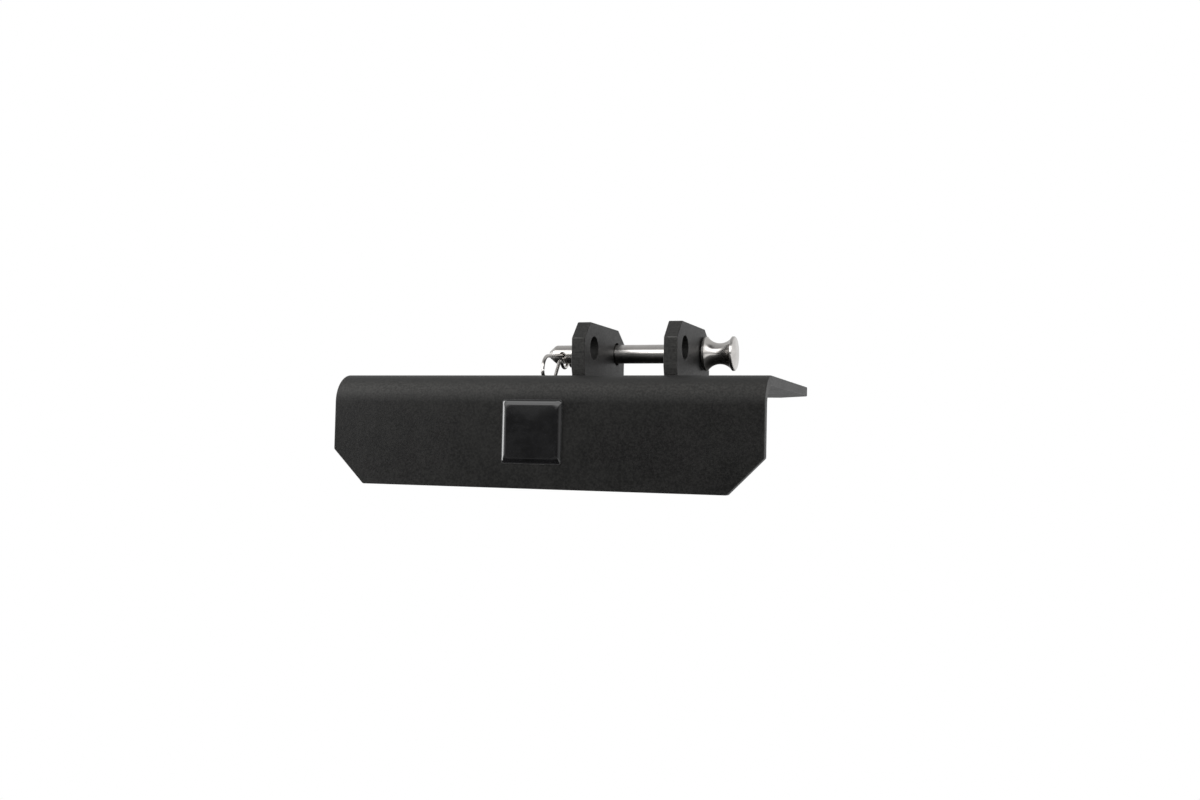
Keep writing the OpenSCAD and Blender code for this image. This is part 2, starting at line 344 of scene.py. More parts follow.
@dataclass(frozen=True)
class Stainless(Finish):
    """Polished stainless steel, turned or drawn."""

    tone: Triple = (0.76, 0.735, 0.71)
    dull: Triple = (0.62, 0.595, 0.57)
    roughness: Point2 = (0.07, 0.17)
    pitch: float = 2600.0
    relief: float = 0.000012
    relief_strength: float = 0.35
    marks: float = 90.0
    drawn_out: float = 0.0

    def inputs(self, graph: Graph, place: Socket) -> Inputs:
        """Gives the shader's inputs."""
        lines = graph.effect(tool_lines, place, Pitch=self.pitch)
        marks = graph.effect(handling, place, Scale=self.marks)["Mask"]
        streaks = graph.math("MULTIPLY", lines["Streak"], 0.4)
        wear = graph.math("MULTIPLY_ADD", marks, 0.6, streaks)
        return {
            "Base Color": graph.mix(graph.math("MULTIPLY", wear, 0.5), self.tone, self.dull),
            "Metallic": 1.0,
            "Roughness": graph.ramp(wear, 0.0, 1.0, self.roughness),
            "Anisotropic": self.drawn_out,
            "Tangent": graph.add("ShaderNodeCombineXYZ", {0: 1.0}).outputs[0],
            "Normal": graph.bump(lines["Height"], self.relief_strength, self.relief),
        }


@dataclass(frozen=True)
class Resin(Finish):
    """Clear-domed black badge resin, with a faint swirl from handling."""

    name: str = "badge_resin"
    body: Triple = (0.0015, 0.0015, 0.0018)
    haze: Triple = (0.004, 0.004, 0.0045)
    roughness: Point2 = (0.04, 0.11)
    gloss: float = 1.0
    marks: float = 60.0
    sag: float = 45.0

    def inputs(self, graph: Graph, place: Socket) -> Inputs:
        """Gives the shader's inputs."""
        marks = graph.effect(handling, place, Scale=self.marks)["Mask"]
        return {
            "Base Color": graph.mix(marks, self.body, self.haze),
            "Roughness": graph.ramp(marks, 0.0, 1.0, self.roughness),
            "Specular IOR Level": self.gloss,
            "Normal": graph.bump(graph.noise(place, self.sag, 1.0), 0.25, 0.0002),
        }


@dataclass(frozen=True)
class LabelFilm(Finish):
    """Matte film under the resin, seen as a thin rim."""

    name: str = "badge_label"
    body: Triple = (0.014, 0.014, 0.014)
    pale: Triple = (0.03, 0.03, 0.03)
    roughness: Point2 = (0.45, 0.65)
    marks: float = 150.0
    fibre: float = 1800.0

    def inputs(self, graph: Graph, place: Socket) -> Inputs:
        """Gives the shader's inputs."""
        marks = graph.effect(handling, place, Scale=self.marks)["Mask"]
        fibre = graph.noise(place, self.fibre, 3.0)
        return {
            "Base Color": graph.mix(marks, self.body, self.pale),
            "Roughness": graph.ramp(fibre, 0.2, 0.8, self.roughness),
            "Normal": graph.bump(fibre, 0.4, 0.00005),
        }


# Meshes


def hand_over(obj: Object, body: Body, node: str) -> None:
    """Makes a finished piece ride on its body and stand for its CAD node."""
    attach(obj, body.value)
    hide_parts(node)
    LOG.info("piece %s: %d faces, on %s", obj.name, len(obj.data.polygons), body.value)


def new_object(name: str, data: bpy.types.ID) -> Object:
    """Makes an object of a mesh, a lamp or a camera, in the scene's own collection."""
    obj = bpy.data.objects.new(name, data)
    bpy.context.scene.collection.objects.link(obj)
    return obj


def new_mesh(name: str, shape: Shape, smooth: bool = True) -> bpy.types.Mesh:
    """Turns a bmesh into a mesh with its faces outwards, and frees the bmesh."""
    bmesh.ops.recalc_face_normals(shape, faces=shape.faces)
    if shape.calc_volume(signed=True) < 0:
        bmesh.ops.reverse_faces(shape, faces=shape.faces)
    for face in shape.faces:
        face.smooth = smooth
    mesh = bpy.data.meshes.new(name)
    shape.to_mesh(mesh)
    shape.free()
    return mesh


def mesh_piece(name: str, shape: Shape, *materials: Material) -> Object:
    """Turns a bmesh into a smooth-shaded object at the origin, whose flat faces stay flat."""
    mesh = new_mesh(name, shape)
    for material in materials:
        mesh.materials.append(material)
    obj = new_object(name, mesh)
    obj.modifiers.new("flat_faces", "WEIGHTED_NORMAL").weight = FLAT_WEIGHT
    bake_modifiers(obj)
    return obj


def bake_modifiers(obj: Object) -> None:
    """Replaces an object's mesh with its evaluated one and drops the modifiers."""
    bpy.context.view_layer.update()
    graph = bpy.context.evaluated_depsgraph_get()
    baked = bpy.data.meshes.new_from_object(
        obj.evaluated_get(graph), preserve_all_data_layers=True, depsgraph=graph
    )
    old = obj.data
    obj.modifiers.clear()
    obj.data = baked
    baked.name = obj.name
    bpy.data.meshes.remove(old)


def round_rims(
    shape: Shape, radius: float, segments: int, clamp: bool = True, sharper_than: float = 30.0
) -> None:
    """Rounds every edge between faces that meet at more than an angle.

    The vertices inside the roundings get 1 in the edge layer, so that a finish can show rub wear
    and a painted highlight there.

    Args:
        shape: The mesh to change.
        radius: Radius of the rounding, in metres.
        segments: Number of faces across it.
        clamp: Whether short edges beside a rim narrow every rounding.
        sharper_than: The angle, in degrees.
    """
    layer = shape.verts.layers.float.get(EDGE_LAYER) or shape.verts.layers.float.new(EDGE_LAYER)
    limit = radians(sharper_than)
    rims = [e for e in shape.edges if len(e.link_faces) == 2 and e.calc_face_angle() > limit]
    made = bmesh.ops.bevel(
        shape, geom=rims, offset=radius, offset_type="OFFSET", segments=segments,
        profile=0.5, affect="EDGES", clamp_overlap=clamp,
    )
    rounded = set(made["faces"])
    for vert in {v for face in rounded for v in face.verts}:
        if all(face in rounded for face in vert.link_faces):
            vert[layer] = 1.0


def thicken(shape: Shape, thickness: float) -> None:
    """Extrudes a flat mesh up along Z into a closed plate."""
    extruded = bmesh.ops.extrude_face_region(shape, geom=shape.faces[:])
    top = [v for v in extruded["geom"] if isinstance(v, bmesh.types.BMVert)]
    bmesh.ops.translate(shape, verts=top, vec=(0, 0, thickness))
    bmesh.ops.recalc_face_normals(shape, faces=shape.faces)


def circle(middle: Point2, radius: float, sides: int) -> list[Point2]:
    """Gives the corners of a circle drawn with straight sides."""
    turn = [2 * pi * k / sides for k in range(sides)]
    return [(middle[0] + radius * cos(a), middle[1] + radius * sin(a)) for a in turn]


def plate_from_outline(
    outline: list[Point2], holes: list[tuple[Point2, float]], thickness: float, sides: int = 64
) -> Shape:
    """Makes a flat plate with round holes, lying in XY from z = 0 up.

    Args:
        outline: The plate's outline.
        holes: Centre and radius of each hole.
        thickness: The plate's thickness.
        sides: Number of sides of a hole.

    Returns:
        The plate's mesh.
    """
    shape = bmesh.new()
    edges = []
    for loop in (outline, *(circle(middle, radius, sides) for middle, radius in holes)):
        verts = [shape.verts.new((x, y, 0.0)) for x, y in loop]
        edges += [shape.edges.new((verts[k - 1], verts[k])) for k in range(len(verts))]
    bmesh.ops.triangle_fill(shape, use_beauty=True, use_dissolve=False, edges=edges)
    thicken(shape, thickness)
    return shape


def join_rings(shape: Shape, rings: list[list[bmesh.types.BMVert]]) -> None:
    """Joins each ring of vertices to the next with a row of faces."""
    for near, far in zip(rings, rings[1:]):
        for k in range(len(near)):
            n = (k + 1) % len(near)
            shape.faces.new((near[k], near[n], far[n], far[k]))


def turned_shape(profile: list[Point2], sides: int) -> Shape:
    """Turns a profile round the X axis.

    Args:
        profile: Points of place along X and radius. The first and the last lie on the axis.
        sides: Number of faces round the axis.

    Returns:
        The closed mesh.
    """
    shape = bmesh.new()
    tip, tail = (shape.verts.new((profile[k][0], 0.0, 0.0)) for k in (0, -1))
    rings = [
        [shape.verts.new((along, y, z)) for y, z in circle((0.0, 0.0), radius, sides)]
        for along, radius in profile[1:-1]
    ]
    for k in range(sides):
        n = (k + 1) % sides
        shape.faces.new((tip, rings[0][n], rings[0][k]))
        shape.faces.new((tail, rings[-1][k], rings[-1][n]))
    join_rings(shape, rings)
    return shape


def arc(centre: Point2, radius: float, start: float, end: float, steps: int) -> list[Point2]:
    """Gives the points along an arc, both ends among them. The angles are in degrees."""
    turn = [radians(start + (end - start) * k / steps) for k in range(steps + 1)]
    return [(centre[0] + radius * cos(a), centre[1] + radius * sin(a)) for a in turn]


def round_corner(
    before: Point2, corner: Point2, after: Point2, radius: float, steps: int = 5
) -> list[Point2]:
    """Gives the points that round a corner of an outline.

    Args:
        before: The outline's point before the corner.
        corner: The corner.
        after: The point after it.
        radius: Radius of the rounding.
        steps: Number of steps round it.

    Returns:
        The points, in the outline's order.
    """
    tip = Vector(corner)
    inward = (tip - Vector(before)).normalized()
    outward = (Vector(after) - tip).normalized()
    turn = inward.angle_signed(outward)
    reach = radius * tan(abs(turn) / 2)
    first, last = tip - inward * reach, tip + outward * reach
    middle = tip + (outward - inward).normalized() * radius / cos(turn / 2)
    start, end = (degrees(atan2(*reversed(p - middle))) for p in (first, last))
    swept = (end - start + 180) % 360 - 180
    return arc(tuple(middle), radius, start, start + swept, steps)


# The swept pieces: one geometry tree each, run once and turned into a plain mesh


class Section(Enum):
    """A sweep's section: the node that draws it and what that node needs besides a radius."""

    ROUND = ("GeometryNodeCurvePrimitiveCircle", {})
    CORNER = (
        "GeometryNodeCurveArc",
        {"Start Angle": -pi / 2, "Sweep Angle": pi / 2, "Connect Center": True},
    )


def sweep_tree(name: str, section: Section, sides: int, material: Material) -> Tree:
    """Builds a geometry tree that sweeps a section along a path.

    Args:
        name: The tree's name.
        section: The section, which the path's float attribute "girth" scales.
        sides: Number of steps round the section.
        material: The piece's material.

    Returns:
        The tree, which takes the path as a mesh of edges.
    """
    tree = bpy.data.node_groups.new(name, "GeometryNodeTree")
    tree.interface.new_socket("Path", in_out="INPUT", socket_type="NodeSocketGeometry")
    tree.interface.new_socket("Radius", in_out="INPUT", socket_type=FLOAT)
    tree.interface.new_socket("Piece", in_out="OUTPUT", socket_type="NodeSocketGeometry")
    graph = Graph(tree)
    source, sink = graph.add("NodeGroupInput").outputs, graph.add("NodeGroupOutput").inputs
    girth = graph.add("GeometryNodeInputNamedAttribute", {"Name": "girth"}, data_type="FLOAT")
    path = graph.add("GeometryNodeMeshToCurve", {0: source["Path"]}).outputs[0]
    path = graph.add("GeometryNodeSetCurveNormal", {0: path}, mode="Z_UP").outputs[0]
    kind, drawn = section.value
    profile = graph.add(kind, {"Resolution": sides, "Radius": source["Radius"], **drawn})
    inputs = {"Profile Curve": profile.outputs[0], "Scale": girth.outputs[0], "Fill Caps": True}
    swept = graph.add("GeometryNodeCurveToMesh", {"Curve": path, **inputs}).outputs[0]
    smooth = graph.add("GeometryNodeSetShadeSmooth", {0: swept}).outputs[0]
    whole = graph.add("GeometryNodeRealizeInstances", {0: smooth}).outputs[0]
    dressed = graph.add("GeometryNodeSetMaterial", {0: whole, "Material": material})
    graph.feed(sink[0], dressed.outputs[0])
    return tree


def sweep(name: str, tree: Tree, path: list[tuple[Vector, float]], radius: float) -> Object:
    """Runs a sweep tree over a path and keeps the plain mesh.

    Args:
        name: The piece's name.
        tree: The geometry tree.
        path: The path's points, with the section's scale at each.
        radius: The section's radius.

    Returns:
        The piece.
    """
    mesh = bpy.data.meshes.new(name)
    mesh.from_pydata([p for p, _ in path], [(k, k + 1) for k in range(len(path) - 1)], [])
    girths = mesh.attributes.new("girth", "FLOAT", "POINT")
    girths.data.foreach_set("value", [g for _, g in path])
    obj = new_object(name, mesh)
    modifier = obj.modifiers.new("sweep", "NODES")
    modifier.node_group = tree
    identifier = next(i.identifier for i in tree.interface.items_tree if i.name == "Radius")
    modifier[identifier] = radius
    bake_modifiers(obj)
    return obj


# The bracket


@dataclass
class StepPlate:
    """The folded plate: a flat blank with cut corners, rolled over its fold. Sizes in mm."""

    coat: Material
    middle_x: float = -58.5
    apron_y: float = -56.5
    tread_z: float = -24.0
    width: float = 356.0
    depth: float = 203.0
    apron: float = 89.0
    thickness: float = 8.0
    fold_r: float = 23.0
    cut: float = 27.5
    rim_r: float = 0.8
    fold_steps: int = 40
    row: float = 12.0
    # Angle round the fold, in degrees, and width of the painted highlight band.
    highlight_at: float = 34.0
    highlight_width: float = 19.0

    def fold_span(self) -> Point2:
        """Gives where the fold starts along the blank's outer face, and its length there."""
        return self.apron - self.fold_r, self.fold_r * pi / 2

    def blank_length(self) -> float:
        """Gives the blank's length along the outer face."""
        return sum(self.fold_span()) + self.depth - self.fold_r

    def rows(self) -> list[float]:
        """Gives the places along the blank where it is divided."""
        start, span = self.fold_span()
        fold = [start + span * k / self.fold_steps for k in range(self.fold_steps + 1)]
        flat_a = [self.cut + self.row * k for k in range(1, int((start - self.cut) / self.row))]
        end = self.blank_length() - self.cut
        count = int((end - fold[-1]) / self.row)
        flat_b = [fold[-1] + (end - fold[-1]) * k / count for k in range(1, count)]
        return flat_a + fold + flat_b

    def folded(self, across: float, along: float, inward: float) -> Vector:
        """Gives where a point of the blank comes to lie.

        Args:
            across: Place across the plate, from its middle.
            along: Place along the outer face, from the apron's lower edge.
            inward: Depth below the outer face.

        Returns:
            The point in the model's frame, in metres.
        """
        start, span = self.fold_span()
        if along < start:
            y, z = inward, along - self.apron
        elif along < start + span:
            turn = (along - start) / self.fold_r
            reach = self.fold_r - inward
            y = self.fold_r - reach * cos(turn)
            z = reach * sin(turn) - self.fold_r
        else:
            y, z = self.fold_r + along - start - span, -inward
        return Vector((self.middle_x + across, self.apron_y + y, self.tread_z + z)) * MM

    def fold_highlight_at(self, along: float) -> float:
        """Gives the painted highlight at a place along the blank, 0 to 1: a band round the fold,
        peaked at one angle.
        """
        place = degrees((along - self.fold_span()[0]) / self.fold_r)
        return exp(-(((place - self.highlight_at) / self.highlight_width) ** 2))

    def build(self) -> None:
        """Builds the plate."""
        half, long, cut = self.width / 2, self.blank_length(), self.cut
        corners = [
            (-half, cut), (-half + cut, 0), (half - cut, 0), (half, cut),
            (half, long - cut), (half - cut, long), (-half + cut, long), (-half, long - cut),
        ]
        shape = bmesh.new()
        shape.faces.new([shape.verts.new((x, s, 0.0)) for x, s in corners])
        for place in self.rows():
            geometry = shape.verts[:] + shape.edges[:] + shape.faces[:]
            bmesh.ops.bisect_plane(shape, geom=geometry, plane_co=(0, place, 0), plane_no=(0, 1, 0))
        thicken(shape, self.thickness)
        round_rims(shape, self.rim_r, RIM_FACES)
        # The bend layer holds the painted highlight band across the fold.
        bend = shape.verts.layers.float.new(FOLD_HIGHLIGHT_LAYER)
        for vert in shape.verts:
            vert[bend] = self.fold_highlight_at(vert.co.y)
            vert.co = self.folded(*vert.co)
        piece = mesh_piece("folded_plate", shape, self.coat)
        hand_over(piece, Body.BRACKET, "step_plate")


@dataclass
class Ear:
    """One drilled ear: a plate lug with cut corners. Sizes in mm."""

    coat: Material
    cut_coat: Material
    side: Side
    gap: float = 65.0
    thickness: float = 11.0
    height: float = 44.5
    length: float = 100.0
    hole_r: float = 9.5
    front_hole: float = 23.0
    rear_hole: float = 80.5
    hole_height: float = 24.0
    front_cut: Point2 = (13.0, 14.0)
    rear_cut: Point2 = (17.0, 10.5)
    foot_cut: Point2 = (2.5, 8.0)
    rim_r: float = 0.5
    front_round: float = 3.0
    rear_round: float = 2.2

    def outline(self) -> list[Point2]:
        """Gives the outline, from the front edge and the tread."""
        (fl, fh), (rl, rh), (sl, sh) = self.front_cut, self.rear_cut, self.foot_cut
        end, top = self.length, self.height
        rear = ((end, top - rh), (end - rl, top), (fl, top))
        front = ((end - rl, top), (fl, top), (0, top - fh))
        return [
            (sl, 0), (end - sl, 0), (end, sh), (end, top - rh),
            *round_corner(*rear, self.rear_round), *round_corner(*front, self.front_round),
            (0, top - fh), (0, sh),
        ]

    def in_bore(self, place: Vector) -> bool:
        """Tells whether a place, in metres, lies on a hole's wall or its mouth."""
        centres = (0.0, self.rear_hole - self.front_hole)
        away = min(hypot(place.y / MM - y, place.z / MM) for y in centres)
        return away < self.hole_r + self.rim_r

    def build(self) -> None:
        """Builds the ear."""
        centres = ((along, self.hole_height) for along in (self.front_hole, self.rear_hole))
        holes = [(centre, self.hole_r) for centre in centres]
        shape = plate_from_outline(self.outline(), holes, self.thickness)
        round_rims(shape, self.rim_r, RIM_FACES, clamp=False)
        outer = self.side.value * (self.gap / 2 + self.thickness / 2) - self.thickness / 2
        for vert in shape.verts:
            along, up, across = vert.co
            vert.co = Vector((outer + across, along - self.front_hole, up - self.hole_height)) * MM
        shape.normal_update()
        for face in shape.faces:
            place = face.calc_center_median()
            face.material_index = int(abs(face.normal.x) < 0.5 and not self.in_bore(place))
        name = f"{self.side.name.lower()}_ear"
        piece = mesh_piece(f"{name}_lug", shape, self.coat, self.cut_coat)
        hand_over(piece, Body.BRACKET, name)


@dataclass
class WeldBead:
    """A rippled fillet weld, between an ear's outer face and the tread. Sizes in mm."""

    tree: Tree
    side: Side
    face_x: float = 43.5
    start_y: float = 39.0
    length: float = 32.0
    tread_z: float = -24.0
    leg: float = 4.4
    ripple: float = 1.7
    ripple_depth: float = 0.09
    ripple_peak: float = 0.35
    ripple_spread: float = 0.43
    end_taper: float = 3.0
    steps_per_ripple: int = 10

    def girth(self, along: float) -> float:
        """Gives the bead's scale at a distance from its start."""
        from_peak = (along / self.ripple) % 1.0 - self.ripple_peak
        bulge = sqrt(max(0.0, 1 - from_peak**2 / self.ripple_spread))
        from_end = min(1.0, min(along, self.length - along) / self.end_taper)
        return (1 - self.ripple_depth * (1 - bulge)) * sqrt(1 - (1 - from_end) ** 2)

    def build(self) -> None:
        """Builds the bead."""
        count = int(self.length / self.ripple) * self.steps_per_ripple
        path = []
        for k in range(count + 1):
            along = self.length * (0.004 + 0.992 * k / count)
            place = Vector((self.side.value * self.face_x, self.start_y + along, self.tread_z)) * MM
            path.append((place, self.girth(along)))
        if self.side is Side.LEFT:
            path.reverse()
        name = f"{self.side.name.lower()}_weld"
        piece = sweep(f"{name}_bead", self.tree, path, self.leg * MM)
        hand_over(piece, Body.BRACKET, name)


@dataclass
class Badge:
    """The resin cap over its label, left bare. Sizes in mm."""

    resin: Material
    film: Material
    middle_x: float = -62.0
    middle_z: float = -69.0
    base_y: float = -57.0
    size: float = 49.2
    corner_r: float = 2.6
    height: float = 1.98
    shoulder: float = 1.86
    roll: float = 4.6
    roll_steps: int = 18
    crown_steps: int = 12
    corner_steps: int = 10
    flat_middle: float = 0.4

    def ring(self, inset: float) -> list[Point2]:
        """Gives a rounded square, inset from the cap's outline."""
        half = self.size / 2 - inset
        radius = min(self.corner_r + inset * 0.5, half * 0.6)
        reach = half - radius
        points: list[Point2] = []
        for quarter, (sx, sy) in enumerate(((1, 1), (-1, 1), (-1, -1), (1, -1))):
            start = 90 * quarter
            points += arc((sx * reach, sy * reach), radius, start, start + 90, self.corner_steps)
        return points

    def rings(self) -> list[Point2]:
        """Gives the inset and height of each ring, from the label inwards."""
        made = [(0.0, 0.0)]
        for k in range(1, self.roll_steps + 1):
            turn = pi / 2 * k / self.roll_steps
            made.append((self.roll * (1 - cos(turn)), self.shoulder * sin(turn)))
        span = self.size / 2 - self.roll - self.flat_middle
        for k in range(1, self.crown_steps + 1):
            part = k / self.crown_steps
            rise = (self.height - self.shoulder) * (1 - (1 - part) ** 2)
            made.append((self.roll + span * part, self.shoulder + rise))
        return made

    def build(self) -> None:
        """Builds the cap and dresses the label."""
        shape = bmesh.new()
        loops = []
        for inset, rise in self.rings():
            y = self.base_y - rise
            loops.append([
                shape.verts.new(Vector((self.middle_x + u, y, self.middle_z + v)) * MM)
                for u, v in self.ring(inset)
            ])
        join_rings(shape, loops)
        shape.faces.new(loops[-1])
        shape.faces.new(list(reversed(loops[0])))
        piece = mesh_piece("resin_cap", shape, self.resin)
        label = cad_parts["badge_label"]
        label.data.materials.clear()
        label.data.materials.append(self.film)
        LOG.info("CAD node badge_label dressed")
        hand_over(piece, Body.BRACKET, "badge_dome")


# The pin and its clip


@dataclass
class HitchPin:
    """The turned cross pin with its spool-shaped knob. Sizes in mm."""

    steel: Material
    axis_y: float = 57.5
    tip_x: float = -93.5
    knob_x: float = 44.3
    shank_r: float = 7.95
    tip_r: float = 3.0
    nose_angle: float = 39.0
    blend_r: float = 4.0
    edge_r: float = 0.8
    knob_r: float = 14.3
    waist_r: float = 8.75
    knob_len: float = 26.0
    rim_in: float = 2.5
    rim_out: float = 2.0
    knob_edge_r: float = 0.8
    knob_face_in: float = 2.0
    crown: float = 1.4
    clip_x: float = -79.5
    clip_hole_r: float = 2.4
    clip_tilt: float = 5.5
    mouth: float = 0.7
    overrun: float = 1.0
    sharp_angle: float = 38.0
    sides: int = 144
    shank_steps: int = 40
    groove_steps: int = 48
    crown_steps: int = 12
    edge_steps: int = 6

    def profile(self) -> list[Point2]:
        """Gives the pin's profile as place along X and radius, from tip to crown."""
        half = radians(self.nose_angle)
        nose = (self.shank_r - self.tip_r) / tan(half) + self.blend_r * tan(half / 2)
        edge_up = self.tip_r - self.edge_r * tan((pi / 2 - half) / 2)
        tip = self.tip_x
        points = [(tip, 0.0), (tip, edge_up * 0.5)]
        slope, shank, count = 90 + self.nose_angle, tip + nose, self.shank_steps
        points += arc((tip + self.edge_r, edge_up), self.edge_r, 180, slope, self.edge_steps)
        points += arc((shank, self.shank_r - self.blend_r), self.blend_r, slope, 90, 10)
        run = self.knob_x - tip - nose
        points += [(shank + run * k / count, self.shank_r) for k in range(1, count)]
        return [*points, (self.knob_x, self.shank_r), *self.knob()]

    def knob(self) -> list[Point2]:
        """Gives the knob's profile, from the shank to the crown."""
        start, end, rim = self.knob_x, self.knob_x + self.knob_len, self.knob_r
        groove_half = (self.knob_len - self.rim_in - self.rim_out) / 2
        deep = rim - self.waist_r
        groove_r = (groove_half**2 + deep**2) / (2 * deep)
        spread = degrees(asin(groove_half / groove_r))
        centre = (start + self.rim_in + groove_half, self.waist_r + groove_r)
        crown_r = (rim**2 + self.crown**2) / (2 * self.crown)
        edge_r, top = self.knob_edge_r, rim - self.knob_edge_r
        points = [(start, top - self.knob_face_in)]
        points += arc((start + edge_r, top), edge_r, 180, 90, self.edge_steps)
        points += arc(centre, groove_r, 270 - spread, 270 + spread, self.groove_steps)
        points += arc((end - edge_r, top), edge_r, 90, 8, self.edge_steps)
        for k in range(self.crown_steps):
            radius = top * (1 - k / self.crown_steps)
            points.append((end + self.crown - crown_r + sqrt(crown_r**2 - radius**2), radius))
        return [*points, (end + self.crown, 0.0)]

    def build(self) -> None:
        """Builds the pin and drills it for the clip."""
        shape = turned_shape([(x * MM, r * MM) for x, r in self.profile()], self.sides)
        bmesh.ops.translate(shape, verts=shape.verts, vec=(0, self.axis_y * MM, 0))
        mesh = new_mesh("turned_pin", shape)
        mesh.materials.append(self.steel)
        piece = new_object("turned_pin", mesh)
        self.drill(piece)
        hand_over(piece, Body.PIN, "hitch_pin")

    def drill(self, piece: Object) -> None:
        """Cuts the cross hole, with its countersunk mouths, into the turned pin."""
        reach, hole_r, mouth = self.shank_r + self.overrun, self.clip_hole_r, self.mouth
        profile = [(-reach - 1, 0), (-reach - 1, hole_r + mouth + 1.3), (-reach + 1.6, hole_r)]
        profile += [(-x, r) for x, r in reversed(profile)]
        shape = turned_shape([(x * MM, r * MM) for x, r in profile], CUTTER_SIDES)
        place = Matrix.Translation((self.clip_x * MM, self.axis_y * MM, 0))
        tilt = Matrix.Rotation(radians(self.clip_tilt), 4, "X")
        across = Matrix.Rotation(pi / 2, 4, "Z")
        bmesh.ops.transform(shape, matrix=place @ tilt @ across, verts=shape.verts)
        mesh = new_mesh("drill", shape, smooth=False)
        cutter = new_object("drill", mesh)
        cut = piece.modifiers.new("cross_hole", "BOOLEAN")
        cut.operation, cut.solver, cut.object = "DIFFERENCE", "EXACT", cutter
        bake_modifiers(piece)
        bpy.data.objects.remove(cutter)
        bpy.data.meshes.remove(mesh)
        piece.data.set_sharp_from_angle(angle=radians(self.sharp_angle))


@dataclass
class PinClip:
    """The hairpin clip, bent from one wire in the plane across the pin. Sizes in mm.

    The chain of links is walked with x pointing down and y forward from the pin's axis.
    A link is a straight run, then a bend by its turn and radius.
    """

    tree: Tree
    axis_y: float = 57.5
    clip_x: float = -79.5
    pin_r: float = 7.95
    tread_below: float = 24.0
    wire_r: float = 1.5
    leg_behind: float = 14.0
    leg_ahead: float = 41.0
    leg_drop: float = 0.5
    tilt: float = 5.5
    eye_r: float = 12.0
    eye_front: float = 1.0
    eye_play: float = 0.3
    rise_r: float = 5.0
    rise: float = 56.0
    hump_r: float = 4.0
    fall: float = 47.0
    fall_len: float = 1.5
    seat_r: float = 8.0
    seat_play: float = 2.0
    seat_ahead: float = 2.0
    lift: float = 45.0
    lift_len: float = 2.5
    tail: float = 25.0
    tail_len: float = 5.0
    degrees_per_step: float = 3.0
    run_step: float = 2.0
    cap_reach: float = 0.9
    cap_least: float = 0.06

    @staticmethod
    def advance(state: Vector, link: Triple) -> Vector:
        """Walks one link (run, turn, radius) on from a state (x, y, heading). In degrees."""
        run, turn, radius = link
        heading, after = radians(state[2]), radians(state[2] + turn)
        arm = copysign(radius, turn) if turn else 0.0
        x = state[0] + run * sin(heading) + arm * (cos(heading) - cos(after))
        y = state[1] + run * cos(heading) - arm * (sin(heading) - sin(after))
        return Vector((x, y, state[2] + turn))

    def start(self) -> Vector:
        """Gives the state at the hidden end of the straight leg."""
        tilt = radians(self.tilt)
        x = self.leg_drop * cos(tilt) - self.leg_behind * sin(tilt)
        y = -self.leg_drop * sin(tilt) - self.leg_behind * cos(tilt)
        return Vector((x, y, self.tilt))

    def chain(self) -> list[Triple]:
        """Gives the links of the whole clip."""
        leg = (self.leg_behind + self.leg_ahead, 90 - self.tilt, self.eye_r)
        side = self.advance(self.start(), leg)
        low_r = self.tread_below - self.wire_r - self.eye_play - side[0] - self.eye_front
        eye = [leg, (self.eye_front, 90, low_r)]
        rise, slope = self.rise, radians(self.rise)
        wave = [(0, rise, self.rise_r), (0, -rise - self.fall, self.hump_r), (self.fall_len, 0, 0)]
        seat = reduce(self.advance, [*eye, *wave], self.start())
        seat_low = self.pin_r + self.wire_r + self.seat_play
        heading = radians(seat[2])
        middle_x = seat[0] + self.seat_r * cos(heading)
        middle_y = seat[1] - self.seat_r * sin(heading)
        rise_len = (middle_x - seat_low + self.seat_r) / sin(slope)
        back_len = middle_y - rise_len * cos(slope) - self.seat_ahead
        return eye + [
            (back_len, rise, self.rise_r),
            (rise_len, -rise - self.fall, self.hump_r),
            (self.fall_len, self.fall + self.lift, self.seat_r),
            (self.lift_len, -self.lift - self.tail, self.hump_r),
            (self.tail_len, 0, 0),
        ]

    def centre_line(self) -> list[Point2]:
        """Gives the wire's centre line, close points round the bends."""
        state = self.start()
        points = [(state[0], state[1])]
        for run, turn, radius in self.chain():
            steps = max(1, round(run / self.run_step)) if run else 0
            stops = [self.advance(state, (run * k / steps, 0, 0)) for k in range(1, steps + 1)]
            straight = self.advance(state, (run, 0, 0))
            steps = ceil(abs(turn) / self.degrees_per_step)
            bend = ((0, turn * k / steps, radius) for k in range(1, steps + 1))
            stops += [self.advance(straight, link) for link in bend]
            points += [(stop[0], stop[1]) for stop in stops]
            state = self.advance(state, (run, turn, radius))
        return points

    def build(self) -> None:
        """Builds the clip, with its wire ends rounded."""
        line = [Vector((self.clip_x, self.axis_y - y, -x)) for x, y in self.centre_line()]
        path = [(p * MM, 1.0) for p in line]
        for end, step in ((0, 1), (-1, -1)):
            outward = (line[end] - line[end + step]).normalized()
            outward *= self.wire_r * self.cap_reach
            turns = (pi / 2 * k / CAP_STEPS for k in range(1, CAP_STEPS + 1))
            cap = [
                ((line[end] + outward * sin(a)) * MM, max(self.cap_least, cos(a)))
                for a in turns
            ]
            path = cap[::-1] + path if end == 0 else path + cap
        piece = sweep("wire_clip", self.tree, path, self.wire_r * MM)
        hand_over(piece, Body.PIN, "pin_clip")


# The room


